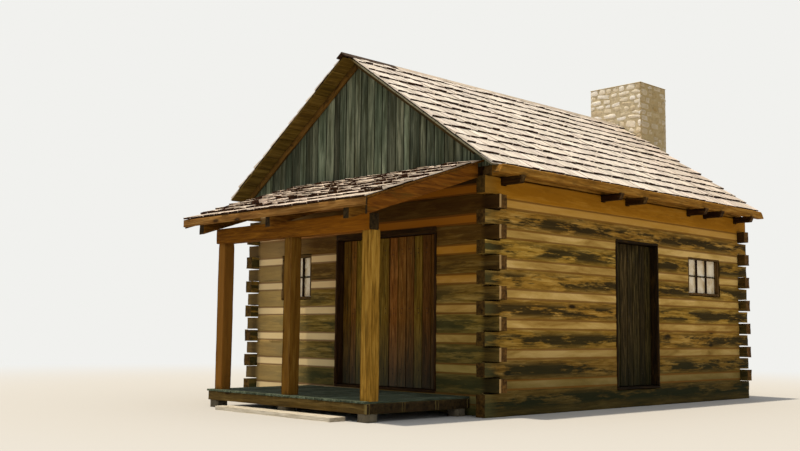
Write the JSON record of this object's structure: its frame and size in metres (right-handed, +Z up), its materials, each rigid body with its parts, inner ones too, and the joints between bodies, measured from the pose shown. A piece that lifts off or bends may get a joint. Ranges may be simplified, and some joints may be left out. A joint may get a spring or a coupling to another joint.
{
  "type": "log cabin with porch and stone chimney",
  "caption": "Hewn log cabin with a gabled shake roof, a boarded porch over double plank doors, a side door and a stone chimney.",
  "frame": {"origin": "middle of the whole plan over walls, porch and chimney, on the ground", "axes": "+X to the right along the front wall seen from outside, +Y from the porch towards the chimney, +Z up"},
  "size_m": [5.17, 8.5756, 5.18],
  "materials": {
    "hewn_log_side": "matte",
    "hewn_log_front": "matte",
    "chinking": "matte",
    "roof_timber": "matte",
    "roof_board": "matte",
    "split_shake": "matte",
    "gable_board": "matte",
    "rubble_stone": "matte",
    "floor_board": "matte",
    "frame_timber": "matte",
    "door_board": "matte",
    "wrought_iron": "matte",
    "window_glass": "gloss",
    "porch_timber": "matte",
    "deck_board": "matte",
    "footing_stone": "matte",
    "step_plank": "matte"
  },
  "bodies": {
    "cabin": {"right_wall_long_logs": "hewn_log_side", "right_wall_front_logs": "hewn_log_side", "right_wall_back_logs": "hewn_log_side", "right_wall_chinking": "chinking", "left_wall_logs": "hewn_log_side", "left_wall_chinking": "chinking", "front_wall_long_logs": "hewn_log_front", "front_wall_left_logs": "hewn_log_front", "front_wall_right_logs": "hewn_log_front", "front_wall_chinking": "chinking", "back_wall_long_logs": "hewn_log_front", "back_wall_left_logs": "hewn_log_front", "back_wall_right_logs": "hewn_log_front", "back_wall_chinking": "chinking", "wall_plates": "roof_timber", "tie_beams": "roof_timber", "eave_planks": "roof_timber", "rafters": "roof_timber", "verge_rafters": "roof_timber", "gable_boards": "gable_board", "roof_boards": "roof_board", "roof_shakes": "split_shake", "ridge_cap": "split_shake", "chimney_base": "rubble_stone", "chimney_shoulder": "rubble_stone", "chimney_stack": "rubble_stone", "floor_sleepers": "floor_board", "floor_boards": "floor_board", "front_door_frame": "frame_timber", "side_door_frame": "frame_timber", "door_pintles": "wrought_iron", "window_frames": "frame_timber", "window_glass": "window_glass", "porch_deck": "deck_board", "porch_deck_frame": "porch_timber", "porch_footings": "footing_stone", "porch_posts": "porch_timber", "porch_beam": "porch_timber", "porch_rafters": "porch_timber", "porch_trim": "porch_timber", "porch_roof_boards": "roof_board", "porch_shakes": "split_shake", "porch_step": "step_plank"},
    "front_left_leaf": {"front_door_left": "door_board", "front_door_left_straps": "wrought_iron"},
    "front_right_leaf": {"front_door_right": "door_board", "front_door_right_straps": "wrought_iron"},
    "side_leaf": {"side_door": "door_board", "side_door_straps": "wrought_iron"}
  },
  "joints": [
    {"name": "front_left_leaf_hinge", "type": "hinge", "parent": "cabin", "child": "front_left_leaf", "pos_m": [-0.399, -2.27022, 1.19], "axis": [0, 0, 1], "range_deg": [0, 95]},
    {"name": "front_right_leaf_hinge", "type": "hinge", "parent": "cabin", "child": "front_right_leaf", "pos_m": [1.371, -2.27022, 1.19], "axis": [0, 0, -1], "range_deg": [0, 95]},
    {"name": "side_leaf_hinge", "type": "hinge", "parent": "cabin", "child": "side_leaf", "pos_m": [2.128, 0.05278, 1.19], "axis": [0, 0, 1], "range_deg": [0, 95]}
  ]
}
